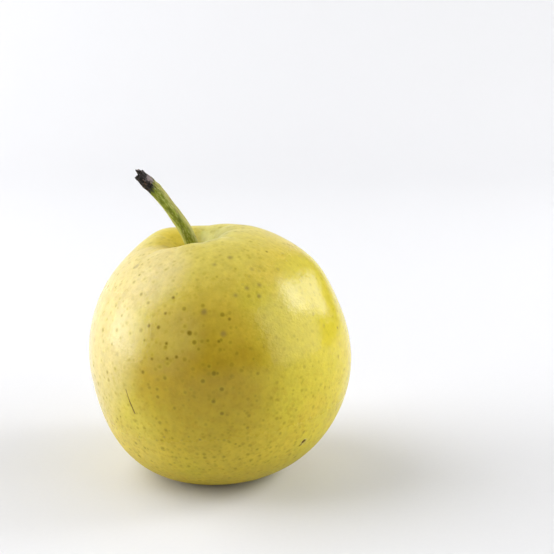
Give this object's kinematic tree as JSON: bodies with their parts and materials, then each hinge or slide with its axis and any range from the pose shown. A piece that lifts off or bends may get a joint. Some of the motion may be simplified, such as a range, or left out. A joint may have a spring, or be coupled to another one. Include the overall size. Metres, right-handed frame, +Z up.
{
  "type": "pear",
  "caption": "Round yellow Asian pear, whole, with a deep stem cavity, a shallow blossom basin and a leaning woody stem, standing on a small flat spot.",
  "frame": {"origin": "on the surface that the pear stands on, under the middle of the fruit", "axes": "+Z up, -X the way that the stem leans, -Y the fruit's best side"},
  "size_m": [0.0784, 0.076, 0.0925],
  "materials": {
    "fruit_skin": "satin",
    "stem_wood": "matte"
  },
  "bodies": {
    "root": {"fruit": "fruit_skin", "stem": "stem_wood"}
  },
  "joints": []
}
